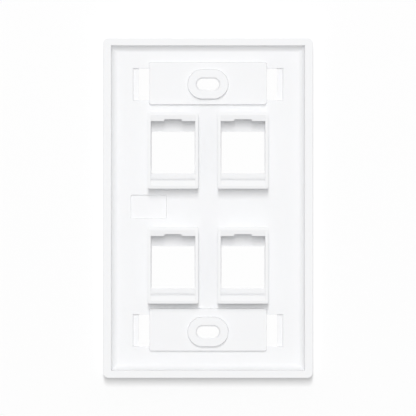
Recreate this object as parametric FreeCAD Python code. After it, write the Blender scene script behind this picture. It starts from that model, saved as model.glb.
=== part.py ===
"""Keystone faceplate: a single-gang wall plate moulded in one piece, with four jack housings on its back.

Frame: +X is to the right as seen from the room, +Z is up and +Y points into the wall. The origin is the
middle of the screw pattern, in the plane of the rim that lies against the wall. All sizes are in millimetres.
"""

import FreeCAD
import Part
import os

# ---- Plate shell ----
plate_width = 70.5
plate_height = 114.3
plate_depth = 6.4               # from the rim's plane to the front face
plate_corner_radius = 1.8
side_band = 2.8                 # straight part of the outer side, next to the wall
bevel_inset = 2.4               # how far the sloping outer side comes in at the front face
crease_softness = 0.7           # the slope and the band meet in an arc this much larger than the corners'
bevel_edge_radius = 0.9         # rounding where the slope meets the front face
face_thickness = 2.2
rim_side_land = 2.65            # flat land that lies against the wall, left and right
rim_end_land = 2.45             # and above and below
rim_edge_radius = 0.15
cove_radius = 2.2               # where the rim's inner wall runs into the floor

# ---- Screw slots and label seats, one above and one below the ports ----
screw_spacing = 83.34
slot_straight = 3.75            # between the centres of a slot's round ends
slot_radius = 1.85
slot_flare = 0.45               # widening of the slot's mouth on the back
slot_flare_depth = 0.6
countersink_width = 1.5         # widening for the screw's oval head, on the front
countersink_depth = 1.2
boss_wall = 3.05                # around the slot
boss_rise = 1.7                 # above the pad
boss_edge_radius = 0.2
pad_width = 39.4
pad_margin_above = 2.05         # of the pad, beyond the label recess
pad_margin_below = 1.45
pad_thickness = 2.0             # of the pad, behind the label recess
pad_corner_radius = 0.8
rise_lean = 0.1                 # how far the pad's and boss's walls lean for each mm of height
label_height = 10.6             # recess in the front face for a label and its window
label_depth = 1.8
label_corner_radius = 0.4
lower_label_lift = 0.4          # of the lower recess and pad, above the middle of their screw slot
clip_hole_width = 3.6           # through hole at each end of the recess, for a window's clip
clip_ledge_width = 1.85         # where the clip would hook, behind the front skin
clip_ledge_skin = 1.1           # thickness of the front skin there

# ---- Jack ports, two columns by two rows ----
column_pitch = 23.5
row_pitch = 38.6
opening_width = 14.45
opening_height = 14.1
opening_edge_chamfer = 0.3
room_beside = 0.2               # from the opening's side to the housing's inner side
room_above = 5.3                # from the opening's top to the housing's inner top
room_below = 4.12               # from the opening's bottom to the housing's inner bottom
housing_depth = 9.6             # from the front face to the housing's back end
housing_side_wall = 1.0
housing_end_wall = 1.0
housing_draft = 0.05            # how far each wall's inner side leans over its height
housing_corner_radius = 0.5
end_bevel_width = 0.85          # slope on the back end of the top and bottom walls
end_bevel_depth = 0.12
latch_reach = 1.93              # upper catch, which the jack's sprung latch snaps over
hook_reach = 1.65               # lower catch, which the jack's fixed hook goes under
catch_lip = 0.35                # blunt edge of each catch
catch_ramp = 0.35               # depth of each catch's ramp
notch_width = 6.0               # relief for the tip of the jack's latch
notch_depth = 0.65
notch_corner_radius = 0.4
sill_height = 1.91              # block under the opening
hook_slot = 1.4                 # between the sill's back and the lower catch
hook_groove = 0.25              # how much deeper the slot is, below the sill

# ---- Blank marking recess on the back ----
marking_width = 11.8
marking_height = 7.8
marking_depth = 0.8
marking_corner_radius = 0.5
marking_x = 20.0
marking_z = 0.4
recess_lean = 0.15              # how far its walls and the clip ledges' lean for each mm of depth

# ---- Levels along Y ----
front_y = -plate_depth
floor_y = front_y + face_thickness
label_floor_y = front_y + label_depth
pad_y = label_floor_y + pad_thickness
boss_y = pad_y + boss_rise
housing_end_y = front_y + housing_depth
catch_back_y = housing_end_y - catch_ramp
catch_front_y = catch_back_y - catch_lip
sill_y = catch_front_y - hook_slot
overcut = 1.0                   # how far a cutting tool runs past the face it opens

# ---- Outlines worked out from the sizes above ----
pad_height = label_height + pad_margin_above + pad_margin_below
pad_offset = (pad_margin_above - pad_margin_below) / 2
label_width = pad_width + 2 * clip_hole_width
boss_radius = slot_radius + boss_wall
cavity_width = opening_width + 2 * room_beside
cavity_height = opening_height + room_above + room_below
housing_width = cavity_width + 2 * (housing_draft + housing_side_wall)
housing_height = cavity_height + 2 * (housing_draft + housing_end_wall)
opening_offset = (room_below - room_above) / 2


def at(x, y, z):
    return FreeCAD.Vector(x, y, z)


def joined(arcs):
    """One closed wire of the given arcs and the straight lines between them."""
    edges = []
    for number, arc in enumerate(arcs):
        following = arcs[(number + 1) % len(arcs)]
        edges.append(arc)
        end = arc.Vertexes[-1].Point
        start = following.Vertexes[0].Point
        if end.distanceToPoint(start) > 1e-6:
            edges.append(Part.LineSegment(end, start).toShape())
    return Part.Wire(edges)


def rounded_rectangle(width, height, radius, y, x=0.0, z=0.0):
    """Closed wire with round corners in the plane at y, centred on (x, z)."""
    bow = radius * (1 - 0.5 ** 0.5)
    arcs = []
    for turn_u, turn_v in ((1, -1), (1, 1), (-1, 1), (-1, -1)):
        corner_x = x + turn_u * width / 2
        corner_z = z + turn_v * height / 2
        on_end = at(corner_x - turn_u * radius, y, corner_z)
        on_side = at(corner_x, y, corner_z - turn_v * radius)
        middle = at(corner_x - turn_u * bow, y, corner_z - turn_v * bow)
        start, end = (on_end, on_side) if turn_u * turn_v < 0 else (on_side, on_end)
        arcs.append(Part.Arc(start, middle, end).toShape())
    return joined(arcs)


def stadium(straight, radius, y, z=0.0):
    """Closed wire with two round ends, its long way along X."""
    half = straight / 2
    arcs = []
    for side in (1, -1):
        start = at(side * half, y, z - side * radius)
        middle = at(side * (half + radius), y, z)
        end = at(side * half, y, z + side * radius)
        arcs.append(Part.Arc(start, middle, end).toShape())
    return joined(arcs)


def prism(wire, y_to):
    """The wire's face, pushed along Y from the wire's own plane to y_to."""
    y_from = wire.Vertexes[0].Point.y
    return Part.Face(wire).extrude(at(0, y_to - y_from, 0))


def block(width, height, y_from, y_to, x=0.0, z=0.0):
    """Sharp-edged block centred on (x, z)."""
    return Part.makeBox(width, y_to - y_from, height, at(x - width / 2, y_from, z - height / 2))


def frustum(size_from, y_from, size_to, y_to, x=0.0, z=0.0):
    """Block whose width and height change evenly from size_from at y_from to size_to at y_to."""
    low, high = [(width / 2, height / 2) for width, height in (size_from, size_to)]
    return Part.makeWedge(
        x - low[0], y_from, z - low[1], z - high[1], x - high[0],
        x + low[0], y_to, z + low[1], z + high[1], x + high[0])


def bar(points_yz, x_from, x_to):
    """Solid bar along X, with its section given as points in Y and Z."""
    corners = [at(x_from, y, z) for y, z in points_yz]
    return Part.Face(Part.makePolygon(corners + corners[:1])).extrude(at(x_to - x_from, 0, 0))


def funnel(straight, radius_from, y_from, radius_to, y_to, z):
    """Stadium whose radius changes evenly from radius_from at y_from to radius_to at y_to."""
    middle = bar(
        [(y_from, z - radius_from), (y_from, z + radius_from), (y_to, z + radius_to), (y_to, z - radius_to)],
        -straight / 2, straight / 2)
    ends = [
        Part.makeCone(radius_from, radius_to, y_to - y_from, at(side * straight / 2, y_from, z), at(0, 1, 0))
        for side in (-1, 1)]
    return middle.fuse(ends)


def across(shape):
    """Edges that run from one level along Y to another."""
    return [e for e in shape.Edges if abs(e.Vertexes[0].Point.y - e.Vertexes[-1].Point.y) > 1e-6]


def rounded_at(shape, y, radius):
    """The shape with every edge that lies in the plane at y rounded."""
    edges = [e for e in shape.Edges if all(abs(v.Point.y - y) < 1e-6 for v in e.Vertexes)]
    return shape.makeFillet(radius, edges)


def plate_shell():
    """Plain dished plate: sloping sides, a flat rim against the wall, and a cove down to a flat floor."""
    outline = (plate_width, plate_height)
    face = (plate_width - 2 * bevel_inset, plate_height - 2 * bevel_inset)
    bevel = frustum(face, front_y, outline, -side_band)
    band = block(plate_width, plate_height, -side_band, 0.0)
    body = bevel.fuse(band).removeSplitter()
    body = rounded_at(body, -side_band, plate_corner_radius + crease_softness)
    body = body.makeFillet(plate_corner_radius, across(body))
    body = rounded_at(body, front_y, bevel_edge_radius)
    body = rounded_at(body, 0.0, rim_edge_radius)
    dish = block(plate_width - 2 * rim_side_land, plate_height - 2 * rim_end_land, floor_y, overcut)
    return body.cut(rounded_at(dish, floor_y, cove_radius))


def label_seat(z, label_z):
    """Raised pad and screw boss on the back, which make room for the label recess on the front."""
    spread = 2 * rise_lean * (pad_y - label_floor_y)
    foot = (pad_width + spread, pad_height + spread)
    pad = frustum(foot, label_floor_y, (pad_width, pad_height), pad_y, z=label_z + pad_offset)
    pad = pad.makeFillet(pad_corner_radius, across(pad))
    foot_radius = boss_radius + rise_lean * (boss_y - label_floor_y)
    boss = funnel(slot_straight, foot_radius, label_floor_y, boss_radius, boss_y, z).removeSplitter()
    return pad.fuse(rounded_at(boss, boss_y, boss_edge_radius))


def recess(width, height, y_bottom, x, z):
    """Cutter for a recess in the back of the floor, its size given at its bottom, with leaning walls."""
    spread = 2 * recess_lean * (floor_y + overcut - y_bottom)
    return frustum((width, height), y_bottom, (width + spread, height + spread), floor_y + overcut, x=x, z=z)


def label_cuts(z):
    """Label recess on the front, with a clip hole and a ledge at each end."""
    outline = rounded_rectangle(label_width, label_height, label_corner_radius, front_y - overcut, z=z)
    cuts = [prism(outline, label_floor_y)]
    for side in (-1, 1):
        hole_x = side * (pad_width + clip_hole_width) / 2
        ledge_x = side * (label_width + clip_ledge_width) / 2
        cuts += [
            block(clip_hole_width, label_height, front_y, floor_y + overcut, x=hole_x, z=z),
            recess(clip_ledge_width, label_height, front_y + clip_ledge_skin, ledge_x, z)]
    return cuts


def slot_cuts(z):
    """Screw slot through the pad and its boss, flared on the back and countersunk on the front."""
    mouth_radius = slot_radius + slot_flare
    seat_radius = slot_radius + countersink_width
    return [
        prism(stadium(slot_straight, slot_radius, label_floor_y - overcut, z=z), boss_y + overcut),
        funnel(slot_straight, slot_radius, boss_y - slot_flare_depth, mouth_radius, boss_y, z),
        funnel(slot_straight, seat_radius, label_floor_y, slot_radius, label_floor_y + countersink_depth, z)]


def housing_walls(x, z):
    """Four walls with a little draft inside, and sloping back ends on the top and bottom walls."""
    walls = block(housing_width, housing_height, floor_y, housing_end_y, x=x, z=z)
    walls = walls.makeFillet(housing_corner_radius, across(walls))
    mouth = (cavity_width + 2 * housing_draft, cavity_height + 2 * housing_draft)
    walls = walls.cut(frustum((cavity_width, cavity_height), floor_y, mouth, housing_end_y, x=x, z=z))
    slope_rise = end_bevel_depth / end_bevel_width
    for side in (-1, 1):
        end_z = z + side * housing_height / 2
        ridge_z = end_z - side * end_bevel_width
        beyond_z = end_z + side * overcut
        walls = walls.cut(bar([
            (housing_end_y, ridge_z),
            (housing_end_y + overcut, ridge_z),
            (housing_end_y + overcut, beyond_z),
            (housing_end_y - end_bevel_depth - slope_rise * overcut, beyond_z)],
            x - housing_width / 2, x + housing_width / 2))
    return walls


def catch(x, z, side, reach):
    """Wedge on the end wall above (side 1) or below (side -1), with its ramp facing back."""
    mouth_z = z + side * (cavity_height / 2 + housing_draft)
    edge_z = mouth_z - side * reach
    inside_wall = housing_side_wall / 2
    half_length = cavity_width / 2 + housing_draft + inside_wall
    return bar([
        (housing_end_y, mouth_z),
        (catch_back_y, edge_z),
        (catch_front_y, edge_z),
        (catch_front_y, mouth_z)],
        x - half_length, x + half_length)


def latch_notch(x, z):
    """Cutter for the relief in the middle of the upper catch's edge."""
    edge_z = z + cavity_height / 2 + housing_draft - latch_reach
    outline = rounded_rectangle(
        notch_width, 2 * notch_depth, notch_corner_radius, housing_end_y + overcut, x=x, z=edge_z)
    return prism(outline, catch_front_y - overcut)


def sill(x, z):
    """Block under the opening, with a lower step behind it that deepens the hook's slot."""
    bottom_z = z - cavity_height / 2
    opening_z = bottom_z + room_below
    half_length = (cavity_width + housing_side_wall) / 2
    step_y = sill_y - hook_groove
    return bar([
        (floor_y, opening_z),
        (sill_y, opening_z),
        (sill_y, opening_z - sill_height),
        (step_y, opening_z - sill_height),
        (step_y, bottom_z - housing_end_wall / 2),
        (floor_y, bottom_z - housing_end_wall / 2)],
        x - half_length, x + half_length)


def port_housing(x, z):
    """Box on the floor's back, open at its back end, with its two catches and its sill."""
    upper_catch = catch(x, z, 1, latch_reach).cut(latch_notch(x, z))
    lower_catch = catch(x, z, -1, hook_reach)
    return housing_walls(x, z).fuse([upper_catch, lower_catch, sill(x, z)]).removeSplitter()


def port_cuts(x, z):
    """Cutters for the opening in the front face, with a small chamfer at its front edge."""
    middle_z = z + opening_offset
    flared = (opening_width + 2 * opening_edge_chamfer, opening_height + 2 * opening_edge_chamfer)
    inner = (opening_width, opening_height)
    return [
        block(opening_width, opening_height, front_y, floor_y + overcut, x=x, z=middle_z),
        frustum(flared, front_y, inner, front_y + opening_edge_chamfer, x=x, z=middle_z)]


def marking_cut():
    """Cutter for the shallow blank recess on the back of the face."""
    cutter = recess(marking_width, marking_height, floor_y - marking_depth, marking_x, marking_z)
    return cutter.makeFillet(marking_corner_radius, across(cutter))


def faceplate():
    """The whole moulding, as one solid."""
    port_places = [(u * column_pitch / 2, v * row_pitch / 2) for u in (-1, 1) for v in (-1, 1)]
    half_spacing = screw_spacing / 2
    seat_places = [(half_spacing, half_spacing), (-half_spacing, lower_label_lift - half_spacing)]
    added = [label_seat(z, label_z) for z, label_z in seat_places]
    added += [port_housing(x, z) for x, z in port_places]
    cuts = [marking_cut()]
    for z, label_z in seat_places:
        cuts += label_cuts(label_z) + slot_cuts(z)
    for x, z in port_places:
        cuts += port_cuts(x, z)
    return plate_shell().fuse(added).cut(cuts).removeSplitter()


def main():
    os.makedirs("parts", exist_ok=True)
    shape = faceplate()
    print("faceplate: %d solid, valid: %s, %.1f mm3" % (len(shape.Solids), shape.isValid(), shape.Volume))
    shape.exportStep("parts/faceplate.step")


main()
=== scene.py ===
import math

import bpy
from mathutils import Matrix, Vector


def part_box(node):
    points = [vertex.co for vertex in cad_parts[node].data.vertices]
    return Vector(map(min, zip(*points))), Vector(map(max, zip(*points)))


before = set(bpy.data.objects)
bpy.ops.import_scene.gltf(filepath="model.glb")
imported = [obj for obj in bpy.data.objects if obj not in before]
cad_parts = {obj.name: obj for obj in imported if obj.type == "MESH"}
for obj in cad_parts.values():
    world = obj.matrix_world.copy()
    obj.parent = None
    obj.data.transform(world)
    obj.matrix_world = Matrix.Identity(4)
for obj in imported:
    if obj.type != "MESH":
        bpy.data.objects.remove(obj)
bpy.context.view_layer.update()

MM = 0.001
plate_low, plate_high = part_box("faceplate")
RIM_Y = 0.0                             # the plane that lies against the wall
FRONT_Y = plate_low.y
PLATE_WIDTH = plate_high.x - plate_low.x
PLATE_HEIGHT = plate_high.z - plate_low.z


# ---- Node helpers ----

NOISE_LOW, NOISE_HIGH = 0.3, 0.7        # nearly all of a noise's values lie between these


def node_at(tree, kind, x, y, **settings):
    """A new node with its settings given by name."""
    node = tree.nodes.new(kind)
    node.location = (x, y)
    for name, value in settings.items():
        setattr(node, name, value)
    return node


def fresh_tree(owner):
    owner.use_nodes = True
    owner.node_tree.nodes.clear()
    return owner.node_tree


def noise_at(tree, place, x, y, waves, detail):
    """Noise read in the plate's own frame, with so many waves per metre."""
    noise = node_at(tree, "ShaderNodeTexNoise", x, y)
    noise.inputs["Scale"].default_value = waves
    noise.inputs["Detail"].default_value = detail
    tree.links.new(place.outputs["Object"], noise.inputs["Vector"])
    return noise


def bump_at(tree, x, y, height, under, depth):
    """Bump of the given depth, laid over the normal of the node under it."""
    bump = node_at(tree, "ShaderNodeBump", x, y)
    bump.inputs["Distance"].default_value = depth
    tree.links.new(height.outputs["Fac"], bump.inputs["Height"])
    tree.links.new(under.outputs["Normal"], bump.inputs["Normal"])
    return bump


def combined(tree, x, y, operation, first, second):
    """The result of one operation, such as ADD or MAXIMUM, on two values."""
    node = node_at(tree, "ShaderNodeMath", x, y, operation=operation)
    tree.links.new(first, node.inputs[0])
    tree.links.new(second, node.inputs[1])
    return node.outputs[0]


def remapped(tree, source, x, y, low, high, from_low=0.0, from_high=1.0):
    """The source value, carried from one range to another and held inside it."""
    scale = node_at(tree, "ShaderNodeMapRange", x, y)
    scale.inputs["From Min"].default_value = from_low
    scale.inputs["From Max"].default_value = from_high
    scale.inputs["To Min"].default_value = low
    scale.inputs["To Max"].default_value = high
    tree.links.new(source, scale.inputs["Value"])
    return scale.outputs["Result"]


# ---- White moulded plastic ----

WHITE = (0.885, 0.889, 0.898, 1.0)      # the colour drifts from this
PALER_WHITE = (0.889, 0.892, 0.902, 1.0)    # to this
TINT_WAVES = 60.0
PLASTIC_IOR = 1.5
GLOW = 0.12                             # share of the light that scatters under the skin
GLOW_TINT = (1.0, 0.96, 0.90)
GLOW_REACH = 0.35 * MM
POLISHED = 0.42                         # roughness of the front, off the smoother half of the mould
SATIN = 0.55                            # roughness of the back, off the spark-eroded half
GLOSS_DRIFT = 0.004                     # how far the roughness strays to either side
GLOSS_WAVES = 700.0
POLISH_ENDS = 0.2 * MM                  # depth behind the front face where the polish begins to fade
SATIN_BEGINS = 1.8 * MM                 # and where it is gone, at the floor of the label recesses
MOULD_EDGE = 0.06 * MM                  # radius that a mould leaves on a sharp edge
EDGE_SAMPLES = 6
SWELL_WAVES = 140.0                     # slow waves in a moulded face
SWELL_DEPTH = 0.04 * MM
SWELL_STRENGTH = 0.15
GRAIN_WAVES = 3200.0                    # fine grain of the mould
GRAIN_DEPTH = 0.02 * MM
GRAIN_ON_FRONT, GRAIN_ON_BACK = 0.04, 0.22


def backness(tree, place):
    """How far back from the front face: 0 on it, 1 from the label recess's floor on."""
    axes = node_at(tree, "ShaderNodeSeparateXYZ", -900, 0)
    tree.links.new(place.outputs["Object"], axes.inputs["Vector"])
    return remapped(
        tree, axes.outputs["Y"], -600, 0, 0.0, 1.0, FRONT_Y + POLISH_ENDS, FRONT_Y + SATIN_BEGINS)


def drifting_white(tree, place):
    flow = noise_at(tree, place, -900, 300, TINT_WAVES, detail=1.0)
    tint = node_at(tree, "ShaderNodeValToRGB", -600, 300)
    first, last = tint.color_ramp.elements
    first.position, last.position = NOISE_LOW, NOISE_HIGH
    first.color, last.color = WHITE, PALER_WHITE
    tree.links.new(flow.outputs["Fac"], tint.inputs["Fac"])
    return tint.outputs["Color"]


def mould_gloss(tree, place, back):
    """Roughness: polished on the front, satin behind it, with a slight drift."""
    gloss = remapped(tree, back, -300, 0, POLISHED, SATIN)
    wear = noise_at(tree, place, -600, 150, GLOSS_WAVES, detail=2.0)
    uneven = remapped(
        tree, wear.outputs["Fac"], -300, -200, -GLOSS_DRIFT, GLOSS_DRIFT, NOISE_LOW, NOISE_HIGH)
    return combined(tree, 0, 0, "ADD", gloss, uneven)


def mould_surface(tree, place, back):
    """Normal: softened edges, a slow swell, and a grain that is stronger at the back."""
    edges = node_at(tree, "ShaderNodeBevel", -300, -700, samples=EDGE_SAMPLES)
    edges.inputs["Radius"].default_value = MOULD_EDGE
    swell = noise_at(tree, place, -600, -450, SWELL_WAVES, detail=1.0)
    waves = bump_at(tree, 0, -450, swell, edges, SWELL_DEPTH)
    waves.inputs["Strength"].default_value = SWELL_STRENGTH
    grain = noise_at(tree, place, -600, -250, GRAIN_WAVES, detail=2.0)
    sparks = bump_at(tree, 300, -300, grain, waves, GRAIN_DEPTH)
    strength = remapped(tree, back, -300, -400, GRAIN_ON_FRONT, GRAIN_ON_BACK)
    tree.links.new(strength, sparks.inputs["Strength"])
    return sparks.outputs["Normal"]


def moulded_white():
    """White plastic: satin and finely grained at the back, smoother and glossier on the front."""
    material = bpy.data.materials.new("white_moulded_plastic")
    tree = fresh_tree(material)
    link = tree.links.new
    output = node_at(tree, "ShaderNodeOutputMaterial", 900, 0)
    skin = node_at(tree, "ShaderNodeBsdfPrincipled", 600, 0)
    skin.inputs["IOR"].default_value = PLASTIC_IOR
    skin.inputs["Subsurface Weight"].default_value = GLOW
    skin.inputs["Subsurface Radius"].default_value = GLOW_TINT
    skin.inputs["Subsurface Scale"].default_value = GLOW_REACH
    link(skin.outputs["BSDF"], output.inputs["Surface"])

    place = node_at(tree, "ShaderNodeTexCoord", -1200, 0)
    back = backness(tree, place)
    link(drifting_white(tree, place), skin.inputs["Base Color"])
    link(mould_gloss(tree, place, back), skin.inputs["Roughness"])
    link(mould_surface(tree, place, back), skin.inputs["Normal"])
    return material


def dress_faceplate():
    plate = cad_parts["faceplate"]
    plate.data.materials.clear()
    plate.data.materials.append(moulded_white())


# ---- Table sheet ----

PAPER = (0.985, 0.985, 0.985, 1.0)
SHEET_GAP = 0.05 * MM                   # between the sheet and the plate's front face
SHEET_REACH = 3.0
SHEET_OVERLAP = 2.0 * MM                # how far the sheet runs in under the plate's sloping sides


def paper_material():
    """White paper on the plate's side of the sheet, and clear on the other."""
    material = bpy.data.materials.new("table_paper")
    tree = fresh_tree(material)
    link = tree.links.new
    output = node_at(tree, "ShaderNodeOutputMaterial", 900, 0)
    paper = node_at(tree, "ShaderNodeBsdfDiffuse", 300, 100)
    paper.inputs["Color"].default_value = PAPER
    clear = node_at(tree, "ShaderNodeBsdfTransparent", 300, -100)
    side = node_at(tree, "ShaderNodeNewGeometry", 300, 300)
    mix = node_at(tree, "ShaderNodeMixShader", 600, 0)
    link(side.outputs["Backfacing"], mix.inputs[0])
    link(paper.outputs[0], mix.inputs[1])
    link(clear.outputs[0], mix.inputs[2])
    link(mix.outputs[0], output.inputs["Surface"])
    return material


def table_sheet():
    """White sheet in the plane of the front face, with a window behind the plate."""
    inner_x = PLATE_WIDTH / 2 - SHEET_OVERLAP
    inner_z = PLATE_HEIGHT / 2 - SHEET_OVERLAP
    y = FRONT_Y - SHEET_GAP
    corners = [(-1, -1), (1, -1), (1, 1), (-1, 1)]
    verts = [(u * inner_x, y, v * inner_z) for u, v in corners]
    verts += [(u * SHEET_REACH, y, v * SHEET_REACH) for u, v in corners]
    faces = [(k, (k + 1) % 4, 4 + (k + 1) % 4, 4 + k) for k in range(4)]
    mesh = bpy.data.meshes.new("table_sheet")
    mesh.from_pydata(verts, [], faces)
    if mesh.polygons[0].normal.y < 0:
        mesh.flip_normals()
    sheet = bpy.data.objects.new("table_sheet", mesh)
    bpy.context.scene.collection.objects.link(sheet)
    mesh.materials.append(paper_material())
    sheet.visible_shadow = False
    sheet.visible_diffuse = False
    sheet.visible_glossy = False
    sheet.visible_transmission = False


# ---- World ----

FILL = 0.525                            # strength of the even light from all round
BACKDROP = 0.99                         # how white the world is seen beyond the plate's front
ROOM_WALL = 0.70                        # and beyond its back, where a white front has to stand out
BACKDROP_ENDS, ROOM_WALL_BEGINS = -0.3, 0.6     # along Y, in a direction of length 1


def plain_background(tree, x, y):
    background = node_at(tree, "ShaderNodeBackground", x, y)
    background.inputs["Color"].default_value = (1.0, 1.0, 1.0, 1.0)
    return background


def studio_world():
    """An even light, seen, mirrored and seen through glass as a white backdrop or a pale wall."""
    world = bpy.data.worlds.new("studio")
    bpy.context.scene.world = world
    tree = fresh_tree(world)
    link = tree.links.new
    output = node_at(tree, "ShaderNodeOutputWorld", 600, 0)
    fill = plain_background(tree, 0, 100)
    fill.inputs["Strength"].default_value = FILL

    seen = plain_background(tree, 0, -100)
    way = node_at(tree, "ShaderNodeTexCoord", -900, -100)
    axes = node_at(tree, "ShaderNodeSeparateXYZ", -600, -100)
    link(way.outputs["Generated"], axes.inputs["Vector"])
    whiteness = remapped(
        tree, axes.outputs["Y"], -300, -100, BACKDROP, ROOM_WALL, BACKDROP_ENDS, ROOM_WALL_BEGINS)
    link(whiteness, seen.inputs["Strength"])

    path = node_at(tree, "ShaderNodeLightPath", -600, 300)
    looks = combined(
        tree, -300, 300, "MAXIMUM", path.outputs["Is Camera Ray"], path.outputs["Is Glossy Ray"])
    looks = combined(tree, -100, 300, "MAXIMUM", looks, path.outputs["Is Transmission Ray"])
    mix = node_at(tree, "ShaderNodeMixShader", 300, 0)
    link(looks, mix.inputs[0])
    link(fill.outputs[0], mix.inputs[1])
    link(seen.outputs[0], mix.inputs[2])
    link(mix.outputs[0], output.inputs["Surface"])


# ---- Lamps ----

KEY_REACH = 6.0                         # from the plate to each softbox
KEY_SIZE = (0.60, 2.70)                 # width and height of a softbox
SWING = math.radians(0.8)               # how far round towards +X each one hangs
BACK_LIFT = math.radians(14.5)          # how far above the level the softbox behind the plate hangs
BACK_SHARE = 0.51                       # its part of the light on a surface that faces it
FRONT_LIFT = math.radians(50)           # the same for the softbox in front of the plate
FRONT_SHARE = 0.57


def softbox(name, side, lift, share):
    """Area lamp behind (side 1) or in front of (side -1) the plate, aimed at it."""
    lamp = bpy.data.lights.new(name, "AREA")
    lamp.shape = "RECTANGLE"
    lamp.size, lamp.size_y = KEY_SIZE
    lamp.energy = share * (math.pi * KEY_REACH) ** 2
    holder = bpy.data.objects.new(name, lamp)
    bpy.context.scene.collection.objects.link(holder)
    level = KEY_REACH * math.cos(lift)
    holder.location = (
        level * math.sin(SWING), side * level * math.cos(SWING), KEY_REACH * math.sin(lift))
    holder.rotation_mode = "QUATERNION"
    holder.rotation_quaternion = (-holder.location).to_track_quat("-Z", "Y")
    holder.visible_camera = False


# ---- Camera ----

CAMERA_DISTANCE = 2.0
CAMERA_NEAR, CAMERA_FAR = 0.1, 20.0
SENSOR_WIDTH = 36.0                     # in the camera's own millimetres, as its lens is
PLATE_SHARE = 0.8173                    # the plate's height as a share of the picture's side


def camera():
    """Long lens, level with the middle of the plate and square to its back."""
    data = bpy.data.cameras.new("camera")
    data.sensor_width = SENSOR_WIDTH
    view_side = PLATE_HEIGHT / PLATE_SHARE
    data.lens = data.sensor_width * CAMERA_DISTANCE / view_side
    data.clip_start = CAMERA_NEAR
    data.clip_end = CAMERA_FAR
    holder = bpy.data.objects.new("camera", data)
    bpy.context.scene.collection.objects.link(holder)
    holder.location = (0, RIM_Y + CAMERA_DISTANCE, 0)
    holder.rotation_mode = "QUATERNION"
    holder.rotation_quaternion = Vector((0, -1, 0)).to_track_quat("-Z", "Y")
    bpy.context.scene.camera = holder


def stage():
    table_sheet()
    studio_world()
    softbox("back_softbox", 1, BACK_LIFT, BACK_SHARE)
    softbox("front_softbox", -1, FRONT_LIFT, FRONT_SHARE)
    camera()
    bpy.context.scene.view_settings.view_transform = "Standard"


dress_faceplate()
stage()
